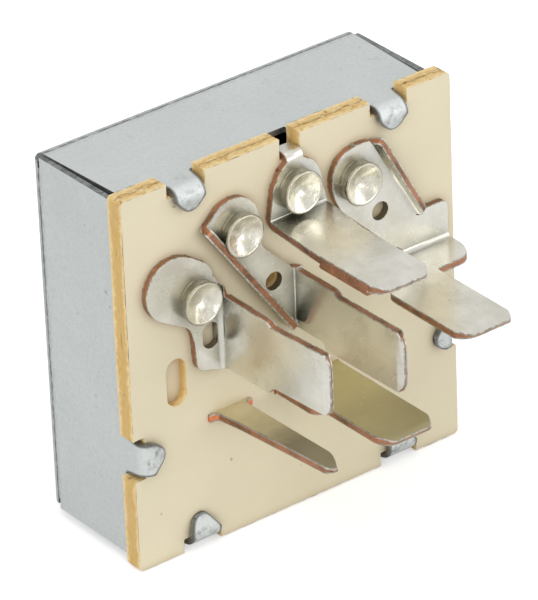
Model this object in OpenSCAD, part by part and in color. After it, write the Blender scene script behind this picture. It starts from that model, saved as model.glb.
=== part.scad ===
// Rotary blower switch for a vehicle heater: off and four speeds.
// A folded steel box carries the bush and the shaft. Two insulating sheets close it,
// and six tin-plated copper blades stand on the sheets.
// Millimetres. The origin is on the shaft axis in the plane of the mounting face.
// +Y runs along the shaft to the knob, +Z is up, and the blades point to -Y.

/* [Case] */
// Width over the side walls
case_w = 37.6; // [37.2:0.1:37.8]
// Height over the top and bottom walls
case_h = 38.1; // [37.6:0.1:38.5]
// Depth from the mounting face to the inner sheet
case_depth = 12.6; // [12.2:0.1:16]
// Thickness of the steel
case_t = 0.6; // [0.5:0.05:0.8]
// Outer radius of the folds round the mounting face
fold_r = 1.2; // [1:0.1:1.8]
// Open corner between two walls, at the sheets
corner_gap = 0.5; // [0.1:0.05:1]
// How far the ends of the side walls stay below the top wall
edge_drop = 0.15; // [0.05:0.05:0.4]
// Length of the relief slit at each end of the side walls
relief_len = 1.1; // [0.5:0.1:2]
// Width of that slit
relief_w = 0.25; // [0.15:0.05:0.5]
// Width of the cut-out in the top wall, at the tongue of the medium low terminal
hatch_w = 3; // [2.6:0.1:4]
// Length of that cut-out
hatch_l = 0.7; // [0.5:0.1:1.5]
// Distance of the box centre from the shaft axis, left and down
centre_shift = 0.5; // [0.3:0.1:0.7]

/* [Case tabs] */
// Width of a tab at its root
tab_root_w = 4; // [3.4:0.1:4.2]
// Width of a tab where it has turned over the sheets
tab_fold_w = 3.3; // [2.8:0.1:3.4]
// Radius of the rounded tab tip
tab_tip_r = 1.15; // [0.8:0.05:1.4]
// Inner radius where a tab folds over the sheets
tab_bend = 0.7; // [0.4:0.05:0.9]
// How far a tab stands off the sheets behind its fold
tab_bulge = 0.25; // [0.1:0.05:0.3]
// Lean of a tab back onto the sheets
tab_tilt = 12; // [6:1:16]
// Room between a tab and the bottom of its notch
tab_room = 0.2; // [0.2:0.05:0.4]
// Reach of the two top tabs, from the outer face of their wall
tab_reach_top = 2.65; // [2.5:0.05:3.5]
// Reach of the two bottom tabs
tab_reach_bottom = 3.2; // [2.5:0.05:3.5]
// Reach of the left tab
tab_reach_left = 2.75; // [2.4:0.05:3.2]
// Reach of the right tab
tab_reach_right = 2.4; // [2.4:0.05:3.2]
// Distance of the top and bottom tabs from the middle of their wall
corner_tab_u = 11.85; // [10.5:0.1:14]
// Height of the side tabs below the middle of their wall
side_tab_u = 7.7; // [6:0.1:10]

/* [Insulating sheets] */
// Width of the sheets
board_w = 38.6; // [38.2:0.1:40]
// Height of the sheets
board_h = 39.4; // [39:0.1:41]
// Thickness of one sheet
ply_t = 1; // [0.8:0.1:1.6]
// Corner radius of the sheets
board_r = 0.5; // [0.1:0.05:1]
// Gap between a tab and the sides of its notch
notch_gap = 0.15; // [0.1:0.05:0.5]
// Gap round a blade in its slot
slot_gap = 0.12; // [0.05:0.01:0.2]
// Width of the oblong hole in the outer sheet
blind_w = 2.3; // [1.5:0.1:2.6]
// Height of the oblong hole
blind_h = 5; // [3:0.1:6]
// Oblong hole, left of the sheet centre
blind_x = 14; // [13.5:0.1:14.5]
// Oblong hole, below the sheet centre
blind_z = 1.1; // [0:0.1:1.4]

/* [Terminals] */
// Thickness of the copper strip
strip_t = 0.8; // [0.6:0.05:0.9]
// Width of a blade
blade_w = 6.3; // [5.8:0.1:6.5]
// Length of the bevel at a blade tip
bevel_l = 0.9; // [0.4:0.1:1.5]
// Thickness left at a blade tip
bevel_t = 0.4; // [0.2:0.05:0.5]
// Reach of the high speed blade
high_len = 16.6; // [13:0.1:18]
// Reach of the medium high blade
medium_high_len = 16.5; // [13:0.1:18]
// Reach of the medium low blade
medium_low_len = 17.5; // [13:0.1:18]
// Reach of the low speed blade
low_len = 16.6; // [13:0.1:18]
// Reach of the feed blade
feed_len = 15.1; // [12:0.1:17]
// Reach of the pilot blade
pilot_len = 15.2; // [12:0.1:17]
// Height of the shoulders that the pilot blade rests on the sheets with
shoulder_h = 0.35; // [0.2:0.05:0.5]
// Reach of its left shoulder
shoulder_left = 0.8; // [0.4:0.1:1]
// Reach of its right shoulder
shoulder_right = 0.6; // [0.3:0.1:0.8]
// Height of the upper face of the feed and pilot blades, below the shaft
slot_z = 6.4; // [6.2:0.1:6.8]
// Length of the root of the high speed blade, before the step to its full width
high_root = 6.3; // [5:0.1:7]
// Length of the root of the medium high blade
medium_high_root = 5.4; // [4.5:0.1:6.5]
// Length of that root along its lower edge
low_root = 3.8; // [3:0.1:5]
// Length of the root of the feed blade, outside the sheets
feed_root = 5.6; // [4.5:0.1:6.5]
// Length of the step from a root to the full width
root_step = 0.7; // [0.4:0.1:1.2]
// Inner radius of the bend of the high speed terminal
high_bend = 0.5; // [0.2:0.05:0.6]
// Inner radius of the bend of the medium high terminal
medium_high_bend = 0.2; // [0.1:0.05:0.4]
// Inner radius of the bend of the medium low terminal
medium_low_bend = 0.3; // [0.1:0.05:0.4]
// Inner radius of the bend of the low speed terminal
low_bend = 0.5; // [0.2:0.05:0.6]
// Height of the stiffening rims on two of the plates
rim_h = 0.9; // [0.5:0.1:1.5]
// Lean of the rim on the medium high plate, from the plane of the plate
medium_high_lean = 85; // [75:1:88]
// Lean of the rim on the low speed plate
low_lean = 68; // [60:1:80]
// Width of the tongue of the medium low plate
tongue_w = 1.9; // [1.5:0.1:2.1]
// Gap at each side of the tongue in its notch
tongue_gap = 0.2; // [0.1:0.05:0.3]
// Length of the tongue, from its bend into the box
tongue_reach = 1.2; // [0.8:0.1:1.5]
// Distance of the tongue below the top of the box
tongue_drop = 1.55; // [1.45:0.05:1.8]
// Length of the burr that hangs under the left edge of the medium low blade
burr_l = 7; // [4:0.5:9]
// Width of that burr
burr_w = 0.8; // [0.4:0.1:1]
// Height of that burr
burr_h = 0.5; // [0.2:0.05:0.6]
// Hole in the medium high and low speed plates
plate_hole = 1.9; // [1:0.1:2.2]
// Width of the oblong hole in the high speed plate
high_slot_w = 1.9; // [1:0.1:2]
// Height of that hole
high_slot_h = 2.7; // [2:0.1:3]

/* [Contact circle] */
// Radius of the circle that the rivets stand on
contact_r = 14; // [13.8:0.05:14.2]
// Angle between two speeds
step = 30; // [29.5:0.1:30.5]
// Angle of the low speed rivet, from +X toward +Z
first_angle = 61.3; // [61:0.1:61.8]

/* [Rivets] */
// Radius of the rivet shank
shank_r = 1.4; // [1:0.05:1.6]
// Radius of the flared rim
flare_r = 2.18; // [1.9:0.02:2.3]
// Height of the rim over the plate
flare_h = 1.2; // [0.8:0.05:1.4]
// Width of the lip round the hollow
lip_w = 0.22; // [0.1:0.02:0.4]
// Depth of the hollow
hollow_depth = 1; // [0.6:0.05:1.1]
// Radius of the flat bottom of the hollow
hollow_r = 0.35; // [0.2:0.05:0.5]
// Radius of the inner head
head_r = 2.2; // [1.9:0.05:2.3]
// Chamfer of the inner head
head_chamfer = 0.3; // [0.1:0.05:0.4]

/* [Bush and shaft] */
// Radius of the bush over its thread
bush_r = 4.76; // [4.5:0.02:5]
// Length of the bush outside the case
bush_len = 8; // [6:0.5:9]
// Radius of the bush in the hole of the case
seat_r = 5.1; // [5.05:0.05:5.9]
// Length of the undercut between the case and the thread
undercut_l = 0.4; // [0.2:0.05:0.5]
// Depth of that undercut
undercut = 0.4; // [0.2:0.05:0.6]
// Chamfer at the end of the bush
bush_chamfer = 0.6; // [0.3:0.05:0.8]
// Radius of the bush flange inside the case
flange_r = 6.5; // [6:0.1:6.8]
// Radius of the shaft
shaft_r = 3.17; // [3:0.01:3.3]
// Reach of the shaft from the mounting face
shaft_len = 20; // [19:0.5:24]
// Running gap between shaft and bush
run_gap = 0.05; // [0.03:0.01:0.1]
// Chamfer at the knob end of the shaft
shaft_chamfer = 0.5; // [0.2:0.05:0.8]
// Length of the flat for the knob
flat_len = 8; // [5:0.5:9]
// Depth of that flat
flat_depth = 0.75; // [0.4:0.05:0.8]
// Side of the square that drives the rotor
drive_w = 4.4; // [4:0.05:4.4]
// Gap round that square
drive_gap = 0.02; // [0.02:0.01:0.05]
// Radius of the pin that runs in the inner sheet
pivot_r = 1.5; // [1.2:0.05:1.8]
// Gap between the end of that pin and the outer sheet
pivot_gap = 0.2; // [0.1:0.05:0.4]
// Radius of the retaining ring, less than that of the thread so that a nut passes over it
ring_r = 4.6; // [4.4:0.05:4.7]
// Thickness of the retaining ring
ring_t = 0.7; // [0.5:0.05:0.9]
// Radius of the two eyes in the retaining ring
ring_eye_r = 0.55; // [0.4:0.05:0.6]
// Half the mouth of the retaining ring, as a share of its inner radius
ring_mouth = 0.8; // [0.6:0.05:0.9]
// Gap between the ring and the sides of its groove
ring_gap = 0.05; // [0.03:0.01:0.08]
// Depth of its groove in the shaft
groove_depth = 0.6; // [0.4:0.05:0.7]
// End play of the shaft at each stop
end_play = 0.1; // [0.05:0.01:0.15]
// Thickness of the thrust washer
washer_t = 0.5; // [0.4:0.05:0.6]
// Radius of the thrust washer
washer_r = 5.5; // [5:0.1:6]
// Thickness of the shaft collar
collar_t = 1; // [0.8:0.1:1.2]
// Radius of the shaft collar
collar_r = 4.6; // [4:0.1:5]

/* [Detent] */
// Thickness of the detent plate
detent_t = 1; // [0.8:0.05:1.1]
// Gap between the detent plate and the case walls
detent_gap = 0.3; // [0.2:0.05:0.6]
// Radius of the detent circle
detent_r = 10; // [9.8:0.1:10.2]
// Radius of the detent holes
detent_hole_r = 1.2; // [0.8:0.05:1.5]
// Clipped corners of the detent plate
detent_clip = 3; // [2:0.1:4]
// Height of the stop that is bent out of the detent plate
lug_h = 3; // [2.5:0.1:3.2]
// Radius of a detent ball
ball_r = 2; // [1.8:0.05:2.1]
// Gap between ball and pocket wall
ball_gap = 0.06; // [0.04:0.01:0.1]
// Gap between the rotor and the detent plate
rotor_gap = 0.9; // [0.6:0.1:1.2]
// Gap between the ball crest and the detent plate
crest_gap = 0.1; // [0.08:0.01:0.2]
// Wire radius of the detent springs
wire_r = 0.2; // [0.15:0.01:0.25]
// Coil radius of the detent springs, at the middle of the wire
coil_r = 1.5; // [1.2:0.05:1.6]
// Turns of a detent spring
spring_turns = 3; // [2:0.5:3]

/* [Rotor] */
// Radius of the rotor
rotor_r = 16.3; // [16.2:0.05:16.5]
// Thickness of the rotor web
web_t = 2; // [1.5:0.1:2.2]
// Radius of the rotor hub
hub_r = 6; // [5.5:0.1:6.3]
// Wall round a ball pocket
pocket_wall = 1.3; // [1:0.1:1.5]
// Floor under a ball pocket
pocket_floor = 0.8; // [0.6:0.1:0.9]
// Width of the stops
stop_w = 4; // [3:0.1:4.5]
// Inner radius of the stops
stop_r = 14.3; // [14.2:0.1:14.5]
// Radial thickness of the stops
stop_t = 1; // [0.8:0.1:1.2]
// Angle left between two stops at each end of the turn
stop_gap = 1.2; // [0.8:0.1:2]

/* [Contact bridge] */
// Thickness of the bridge
bridge_t = 0.6; // [0.5:0.05:0.7]
// Width of the bridge
bridge_w = 5; // [4:0.1:5.5]
// Distance from the inner edge of the feed ring to the bridge
bridge_in = 0.35; // [0.2:0.05:0.6]
// Reach of the bridge beyond the circle of the rivets
bridge_out = 1.2; // [1:0.05:1.3]
// Radius of the round tops of the dimples
dimple_r = 1.2; // [1:0.05:1.5]
// Height of the contact dimples
dimple_h = 0.75; // [0.6:0.05:0.8]
// Gap between a dimple and its contact at rest
contact_gap = 0.15; // [0.1:0.01:0.2]
// Room for the bowed contact spring
spring_room = 1.7; // [1.5:0.1:1.8]
// Thickness of the contact spring
leaf_t = 0.35; // [0.25:0.05:0.5]
// Half the span of the contact spring
leaf_span = 4.6; // [4:0.1:5]
// Width of the contact spring
leaf_w = 3.5; // [2.5:0.1:4]
// Side gap of the bridge in its guide
guide_gap = 0.15; // [0.1:0.05:0.25]
// Wall of the guide
guide_wall = 0.9; // [0.7:0.1:1]
// Wall of the guide at its outer end
guide_end = 0.8; // [0.5:0.05:0.9]
// How far the guide reaches over the sides of the bridge
guide_lap = 0.3; // [0.2:0.05:0.4]

/* [Hidden] */
$fn = 72;

steel = [0.78, 0.80, 0.80];
tin = [0.82, 0.81, 0.77];
phenolic = [0.87, 0.83, 0.72];
moulding = [0.20, 0.19, 0.18];
spring_steel = [0.62, 0.63, 0.65];
copper = [0.74, 0.50, 0.36];

// Places along the shaft
inner_y = -case_depth;
front_y = inner_y - 2 * ply_t;
stack_t = 2 * ply_t;
rivet_top = strip_t + flare_h;
contact_y = inner_y + strip_t;
crest_y = contact_y + contact_gap;
bridge_y = crest_y + dimple_h + bridge_t;
web_y = bridge_y + spring_room;
detent_y = -case_t - detent_t;
washer_y = detent_y - end_play;
collar_y = washer_y - washer_t;
hub_y = collar_y - collar_t;
ball_y = detent_y - crest_gap - ball_r;
pocket_y = web_y + pocket_floor;
spring_top = ball_y + wire_r - sqrt(pow(ball_r + wire_r, 2) - pow(coil_r, 2));
boss_y = detent_y - rotor_gap;
ring_y = bush_len + end_play;
groove_r = shaft_r - groove_depth;

// Angles in the plane of the sheets, from +X toward +Z
speeds = 4;
off_angle = first_angle - step;
ball_angle = off_angle + 90;
stop_angle = off_angle + 180;
stop_half = atan((stop_w / 2) / stop_r);

// The plates are drawn for a rivet circle of this radius and keep their proportion to it
drawn_r = 14;
function drawn(p) = p * contact_r / drawn_r;

// The two slot blades, across the sheets, and the ring and arc that the bridge slides on
feed_a = drawn(-3.15);
feed_b = drawn(4.35);
feed_mid = drawn(1.18);
pilot_a = drawn(-10.3);
pilot_b = drawn(-6.7);
ring_in = drawn(3.6);
ring_out = drawn(7);
arc_in = drawn(9);
arc_out = drawn(10.8);
arc_from = 46;
arc_to = 216;
bridge_from = ring_in + bridge_in;
bridge_to = contact_r + bridge_out;

// The tongue of the medium low plate, in its notch at the top edge of the sheets
tongue_x = drawn(-0.8);
tongue_z = case_h / 2 - tongue_drop;

// The hole in the medium high plate, from its rivet; the outer sheet is open behind it
medium_high_hole = drawn([3.89, -6.65]);

// Clipped corners at the blade tips: the length along the blade, then across it
high_corner = [0.55, 0.87];
medium_high_corner = [0.75, 1.1];
medium_low_corner = [1.4, 0.85];
low_corner_right = [1.2, 0.55];
low_corner_left = [1.4, 1.1];
feed_corner = [1.6, 0.9];

// A plate drawn in X and Z that grows toward -Y
module facing(h) { rotate([90, 0, 0]) linear_extrude(h) children(); }

// A plate drawn in Y and Z that grows toward +X
module upright(h) { rotate([90, 0, 90]) linear_extrude(h) children(); }

// A round bar on the shaft axis between two places
module rod(r, from, to) {
  translate([0, from, 0]) rotate([-90, 0, 0]) cylinder(r = r, h = to - from);
}

// The chamfer of a round bar that ends at a place
module chamfer_end(r, chamfer, end) {
  translate([0, end - chamfer, 0]) rotate([-90, 0, 0]) cylinder(r1 = r, r2 = r - chamfer, h = chamfer);
}

// Turns a piece drawn along +X to an angle in the plane of the sheets
module at_angle(a) { rotate([0, -a, 0]) children(); }

// Centre of the sheets, on their outer face
module at_sheets() { translate([-centre_shift, front_y, -centre_shift]) children(); }

// Rivet number i, from the low speed to the high speed, on the outer face
module at_contact(i) {
  a = first_angle + i * step;
  translate([contact_r * cos(a), front_y, contact_r * sin(a)]) children();
}

module rounded_rect(w, h, r) {
  square([w - 2 * r, h], center = true);
  square([w, h - 2 * r], center = true);
  for (x = [-1, 1], z = [-1, 1]) translate([x * (w / 2 - r), z * (h / 2 - r)]) circle(r);
}

module oblong(w, h) {
  square([w, h - w], center = true);
  for (z = [-1, 1]) translate([0, z * (h - w) / 2]) circle(w / 2);
}

// A wall of the box: side 0 is the top, 1 the left, 2 the bottom, 3 the right
module on_wall(side) {
  translate([-centre_shift, 0, -centre_shift]) rotate([0, -90 * side, 0]) children();
}
function wall_half(side) = (side % 2 == 0 ? case_h : case_w) / 2;
function tab_places(side) = side % 2 == 0 ? [-corner_tab_u, corner_tab_u]
                          : side == 1 ? [-side_tab_u] : [side_tab_u];
function tab_reach(side) = [tab_reach_top, tab_reach_left, tab_reach_bottom, tab_reach_right][side];
// How far the tip of a tab stands off its middle, by wall
tab_lean = [0.1, 0.1, 0.3, 0.5];

// Where a line from p touches the circle round c, on the side s
function touch(c, r, p, s) = let (d = p - c, a = atan2(d[1], d[0]) + s * acos(r / norm(d)))
  c + r * [cos(a), sin(a)];

// Side view of a tab: the wall, the fold round a centre below it, and the leaning flap
module tab_profile(half) {
  centre = [front_y - tab_bulge + tab_bend, half - case_t - tab_bend];
  outer = tab_bend + case_t;
  far = 3;
  flap = [-cos(tab_tilt), -sin(tab_tilt)];
  down = [sin(tab_tilt), -cos(tab_tilt)];
  translate([centre[0], half - case_t]) square([inner_y - centre[0], case_t]);
  translate(centre) {
    intersection() {
      difference() {
        circle(outer);
        circle(tab_bend);
      }
      polygon([[0, 0], [0, far], [-far, far], [-far, 0], far * flap]);
    }
    polygon([(tab_bend + 0.01) * flap - 0.06 * down, (outer - 0.01) * flap - 0.06 * down,
             (outer - 0.01) * flap + far * down, (tab_bend + 0.01) * flap + far * down]);
  }
}

// One tab: the profile cut to its taper from above and to its rounded tip from the front
module case_tab(u, half, reach, lean) {
  root = tab_root_w / 2;
  fold = tab_fold_w / 2;
  bottom = half - reach;
  tip = [u + lean, bottom + tab_tip_r];
  left = [u - fold - 0.03, half - case_t - tab_bend];
  right = [u + fold + 0.03, half - case_t - tab_bend];
  intersection() {
    translate([u - root, 0, 0]) upright(2 * root) difference() {
      tab_profile(half);
      translate([front_y, bottom - 1]) square([stack_t, half - case_t - tab_room - bottom + 1]);
    }
    translate([u, 0, half - 5]) linear_extrude(9)
      polygon([[-root, inner_y + 1], [-root, inner_y], [-fold, front_y], [-fold, front_y - 3],
               [fold, front_y - 3], [fold, front_y], [root, inner_y], [root, inner_y + 1]]);
    translate([0, inner_y + 1, 0]) facing(6) union() {
      translate([u - root, left[1]]) square([2 * root, 5]);
      polygon([left, right, touch(tip, tab_tip_r - 0.01, right, -1), tip,
               touch(tip, tab_tip_r - 0.01, left, 1)]);
      translate(tip) circle(tab_tip_r);
    }
  }
}

module case_wall(side) {
  half = wall_half(side);
  other = wall_half(side + 1);
  at_side = side % 2 == 1;
  end_front = at_side ? other - edge_drop : other - case_t;
  end_back = at_side ? other - edge_drop : other - case_t - corner_gap;
  fold_end = other - fold_r / 2;
  difference() {
    translate([0, 0, half - case_t]) linear_extrude(case_t)
      polygon([[-end_front, -fold_r], [end_front, -fold_r], [end_back, inner_y], [-end_back, inner_y]]);
    if (at_side) for (s = [-1, 1])
      translate([s * (end_front - relief_len / 2), -fold_r - relief_w / 2, half])
        cube([relief_len + 0.01, relief_w, 3 * case_t], center = true);
  }
  translate([-fold_end, -fold_r, half - fold_r]) upright(2 * fold_end) intersection() {
    difference() {
      circle(fold_r);
      circle(fold_r - case_t);
    }
    square(fold_r);
  }
  for (u = tab_places(side)) case_tab(u, half, tab_reach(side), tab_lean[side]);
}

module case() color(steel) {
  difference() {
    translate([-centre_shift, 0, -centre_shift]) facing(case_t)
      square([case_w - 2 * fold_r, case_h - 2 * fold_r], center = true);
    rod(seat_r, -2 * case_t, case_t);
  }
  for (side = [1 : 3]) on_wall(side) case_wall(side);
  on_wall(0) difference() {
    case_wall(0);
    translate([tongue_x + tongue_w / 2 - hatch_w / 2, inner_y - 1, case_h / 2 - 2 * case_t])
      cube([hatch_w, hatch_l + 1, 3 * case_t]);
  }
}

module threaded_bush() color(tin) difference() {
  union() {
    rod(flange_r, detent_y, -case_t);
    rod(seat_r, -case_t, 0);
    rod(bush_r - undercut, 0, undercut_l);
    rod(bush_r, undercut_l, bush_len - bush_chamfer);
    chamfer_end(bush_r, bush_chamfer, bush_len);
  }
  rod(shaft_r + run_gap, detent_y - 1, bush_len + 1);
}

module control_shaft() color(spring_steel) difference() {
  union() {
    rod(shaft_r, hub_y, shaft_len - shaft_chamfer);
    chamfer_end(shaft_r, shaft_chamfer, shaft_len);
    rod(collar_r, hub_y, collar_y);
    intersection() {
      rod(shaft_r, web_y, hub_y);
      translate([0, (web_y + hub_y) / 2, 0]) cube([drive_w, hub_y - web_y, drive_w], center = true);
    }
    rod(pivot_r, inner_y - ply_t + pivot_gap, web_y);
  }
  translate([-shaft_r, shaft_len - flat_len, shaft_r - flat_depth]) cube([2 * shaft_r, flat_len + 1, shaft_r]);
  difference() {
    rod(shaft_r + 1, ring_y - ring_gap, ring_y + ring_t + ring_gap);
    rod(groove_r, ring_y - 1, ring_y + ring_t + 1);
  }
}

// Snap ring with its open side down
module retaining_ring() color(spring_steel) translate([0, ring_y + ring_t, 0]) facing(ring_t) difference() {
  circle(ring_r);
  circle(groove_r);
  translate([-groove_r * ring_mouth, -2 * ring_r]) square([2 * groove_r * ring_mouth, 2 * ring_r]);
  for (a = [30, 150]) rotate(a) translate([(groove_r + ring_r) / 2, 0]) circle(ring_eye_r);
}

module thrust_washer() color(tin) difference() {
  rod(washer_r, collar_y, washer_y);
  rod(shaft_r + run_gap, collar_y - 1, washer_y + 1);
}

// Square plate with clipped corners, a hole for each detent and one stop bent inward
module detent_plate() color(steel) {
  w = case_w - 2 * case_t - 2 * detent_gap;
  h = case_h - 2 * case_t - 2 * detent_gap;
  translate([0, -case_t, 0]) facing(detent_t) difference() {
    translate([-centre_shift, -centre_shift])
      polygon([[-w / 2 + detent_clip, -h / 2], [w / 2 - detent_clip, -h / 2],
               [w / 2, -h / 2 + detent_clip], [w / 2, h / 2 - detent_clip],
               [w / 2 - detent_clip, h / 2], [-w / 2 + detent_clip, h / 2],
               [-w / 2, h / 2 - detent_clip], [-w / 2, -h / 2 + detent_clip]]);
    circle(flange_r);
    for (side = [0, 180], k = [0 : speeds])
      rotate(ball_angle + side + k * step) translate([detent_r, 0]) circle(detent_hole_r);
  }
  at_angle(stop_angle) translate([stop_r, detent_y - lug_h, -stop_w / 2])
    cube([stop_t, lug_h + 0.01, stop_w]);
}

// Web, hub, two ball pockets, two stops on the front and the guide of the bridge on the back
module rotor() color(moulding) {
  guide_in = bridge_from - guide_gap;
  guide_out = bridge_to + guide_gap;
  guide_w = bridge_w + 2 * (guide_gap + guide_wall);
  swing = speeds * step;
  stop_away = 2 * stop_half + stop_gap;
  difference() {
    union() {
      rod(rotor_r, web_y, web_y + web_t);
      rod(hub_r, web_y, hub_y);
      for (side = [0, 180]) at_angle(ball_angle + side) translate([detent_r, 0, 0])
        rod(ball_r + ball_gap + pocket_wall, web_y, boss_y);
      for (a = [stop_angle + stop_away, stop_angle - swing - stop_away])
        at_angle(a) translate([stop_r, web_y + web_t / 2, -stop_w / 2])
          cube([stop_t, boss_y - web_y - web_t / 2, stop_w]);
    }
    for (side = [0, 180]) at_angle(ball_angle + side) translate([detent_r, 0, 0])
      rod(ball_r + ball_gap, pocket_y, 0);
    translate([0, web_y, 0]) cube([drive_w + 2 * drive_gap, 20, drive_w + 2 * drive_gap], center = true);
  }
  at_angle(off_angle) difference() {
    translate([guide_in - guide_wall, bridge_y - guide_lap, -guide_w / 2])
      cube([guide_out - guide_in + guide_wall + guide_end, spring_room + 2 * guide_lap, guide_w]);
    translate([guide_in, bridge_y - 1, -bridge_w / 2 - guide_gap])
      cube([guide_out - guide_in, spring_room + 1, bridge_w + 2 * guide_gap]);
  }
}

module detent_balls() color(spring_steel) for (side = [0, 180])
  at_angle(ball_angle + side) translate([detent_r, ball_y, 0]) sphere(ball_r);

// Tube along a rising helix, with flat ends
module coil(r, wire, height, turns) {
  n = ceil(turns * 18);
  m = 8;
  rise = height - 2 * wire;
  pts = [for (i = [0 : n], j = [0 : m - 1])
    let (a = 360 * turns * i / n, b = 360 * j / m, q = r + wire * cos(b))
    [q * cos(a), q * sin(a), wire + rise * i / n + wire * sin(b)]];
  sides = [for (i = [0 : n - 1], j = [0 : m - 1]) let (k = (j + 1) % m)
    [i * m + j, i * m + k, (i + 1) * m + k, (i + 1) * m + j]];
  polyhedron(pts, concat([[for (j = [m - 1 : -1 : 0]) j]], sides, [[for (j = [0 : m - 1]) n * m + j]]));
}

module detent_springs() color(spring_steel) for (side = [0, 180])
  at_angle(ball_angle + side) translate([detent_r, pocket_y, 0]) rotate([-90, 0, 0])
    coil(coil_r, wire_r, spring_top - pocket_y, spring_turns);

// Bowed strip between the rotor web and the bridge
module contact_spring() color(spring_steel) {
  r = (pow(spring_room, 2) - pow(leaf_t, 2) + pow(leaf_span, 2)) / (2 * (spring_room - leaf_t));
  middle = (bridge_from + bridge_to) / 2;
  at_angle(off_angle) translate([middle, 0, -leaf_w / 2]) linear_extrude(leaf_w) intersection() {
    translate([0, web_y - r]) difference() {
      circle(r, $fn = 180);
      circle(r - leaf_t, $fn = 180);
    }
    translate([-leaf_span, bridge_y]) square([2 * leaf_span, spring_room]);
  }
}

// Bar that joins the feed ring, the pilot arc and one rivet, with a dimple for each
module contact_bridge() color(copper) at_angle(off_angle) {
  translate([bridge_from, bridge_y - bridge_t, -bridge_w / 2])
    cube([bridge_to - bridge_from, bridge_t, bridge_w]);
  for (r = [(ring_in + ring_out) / 2, (arc_in + arc_out) / 2, contact_r]) intersection() {
    translate([r, crest_y + dimple_r, 0]) sphere(dimple_r);
    translate([r - 2, crest_y - 1, -2]) cube([4, dimple_h + bridge_t / 2 + 1, 4]);
  }
}

// Outline of both sheets, with notches for the tabs, slots for two blades and rivet holes
module board_2d() difference() {
  rounded_rect(board_w, board_h, board_r);
  for (side = [0 : 3]) rotate(90 * side) for (u = tab_places(side))
    translate([u - tab_root_w / 2 - notch_gap, wall_half(side) - case_t - tab_room])
      square([tab_root_w + 2 * notch_gap, 9]);
  translate([tongue_x - tongue_gap, tongue_z]) square([tongue_w + 2 * tongue_gap, 9]);
  translate([centre_shift, centre_shift]) {
    for (i = [0 : speeds - 1]) rotate(first_angle + i * step) translate([contact_r, 0]) circle(shank_r);
    for (s = [[feed_a, feed_b], [pilot_a, pilot_b]])
      translate([s[0] - slot_gap, -slot_z - strip_t - slot_gap])
        square([s[1] - s[0] + 2 * slot_gap, strip_t + slot_gap]);
  }
}

module inner_board() color(phenolic) at_sheets() translate([0, stack_t, 0]) facing(ply_t) difference() {
  board_2d();
  translate([centre_shift, centre_shift]) circle(pivot_r + run_gap);
}

module terminal_board() color(phenolic) at_sheets() translate([0, ply_t, 0]) facing(ply_t) difference() {
  board_2d();
  translate([-blind_x, -blind_z]) oblong(blind_w, blind_h);
  translate([centre_shift, centre_shift]) rotate(first_angle + 2 * step) translate([contact_r, 0])
    rotate(-first_angle - 2 * step) translate(medium_high_hole) circle(plate_hole / 2);
}

// The clipped corners at the tip of a blade; a cut is its length along the blade and across it
function blade_tip(mid, len, cut_b, cut_a) = [
  [cut_b[0] - len, mid + blade_w / 2], [-len, mid + blade_w / 2 - cut_b[1]],
  [-len, mid - blade_w / 2 + cut_a[1]], [cut_a[0] - len, mid - blade_w / 2]];

// Outline of a blade along Y: its root from a to b, the step to its full width, and its tip
function blade_points(a, b, root_l, mid, drift, len, cut_b, cut_a) = concat(
  [[0, b], [-root_l, b], [-root_l - root_step, mid + blade_w / 2]],
  blade_tip(mid + drift, len, cut_b, cut_a),
  [[-root_l - root_step, mid - blade_w / 2], [-root_l, a], [0, a]]);

// Side view of a blade: full thickness, then the bevel at the tip
function bevel_points(len) = [
  [9, strip_t / 2], [bevel_l - len, strip_t / 2], [-len, bevel_t / 2],
  [-len, -bevel_t / 2], [bevel_l - len, -strip_t / 2], [9, -strip_t / 2]];

// A blade standing on edge, its left face at x
module edge_blade(x, len) intersection() {
  translate([x, 0, 0]) upright(strip_t) children();
  translate([x + strip_t / 2, 0, -30]) linear_extrude(60) polygon([for (p = bevel_points(len)) [p[1], p[0]]]);
}

// A blade lying flat, its upper face at z
module flat_blade(z, len) intersection() {
  translate([0, 0, z - strip_t]) linear_extrude(strip_t) children();
  translate([-30, 0, z - strip_t / 2]) upright(60) polygon(bevel_points(len));
}
function across(points) = [for (p = points) [p[1], p[0]]];

// Quarter bend between a plate and a blade, along Z, round the point where it is placed
module quarter_bend(r, from, to) {
  translate([0, 0, from]) linear_extrude(to - from) intersection() {
    difference() {
      circle(r + strip_t);
      if (r > 0) circle(r);
    }
    square(r + strip_t);
  }
}
// The same bend along X, from the plate above down to the blade
module lying_bend(r, from, to) { rotate([0, 90, 0]) quarter_bend(r, from, to); }

// Stiffening rim that stands up from the edge of a plate, almost from corner to corner
module plate_rim(p, q, lean) {
  d = q - p;
  translate([p[0], 0, p[1]]) at_angle(atan2(d[1], d[0])) rotate([180, -90, 0])
    translate([0, strip_t, 0.05]) linear_extrude(norm(d) - 0.1) {
      translate([-0.1, -strip_t]) square([0.1, strip_t]);
      rotate(lean) translate([0, -strip_t]) square([rim_h, strip_t]);
      intersection() {
        circle(strip_t);
        polygon([[0, 0], [0, -2], [2, -2], [2 * sin(lean), -2 * cos(lean)]]);
      }
    }
}

// The flat plate ends a little inside the line of its rim
function rim_seat(p, q) = let (d = (q - p) / norm(q - p)) 0.05 * [d[1], -d[0]];

// The side of a rim line that a round head stays clear of
module beyond(p, q) {
  d = q - p;
  translate(p) rotate(atan2(d[1], d[0])) translate([0, -0.1]) square([norm(d), 9]);
}

module rivet_hole() { translate([0, 1, 0]) rotate([90, 0, 0]) cylinder(r = shank_r, h = 4); }

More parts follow.
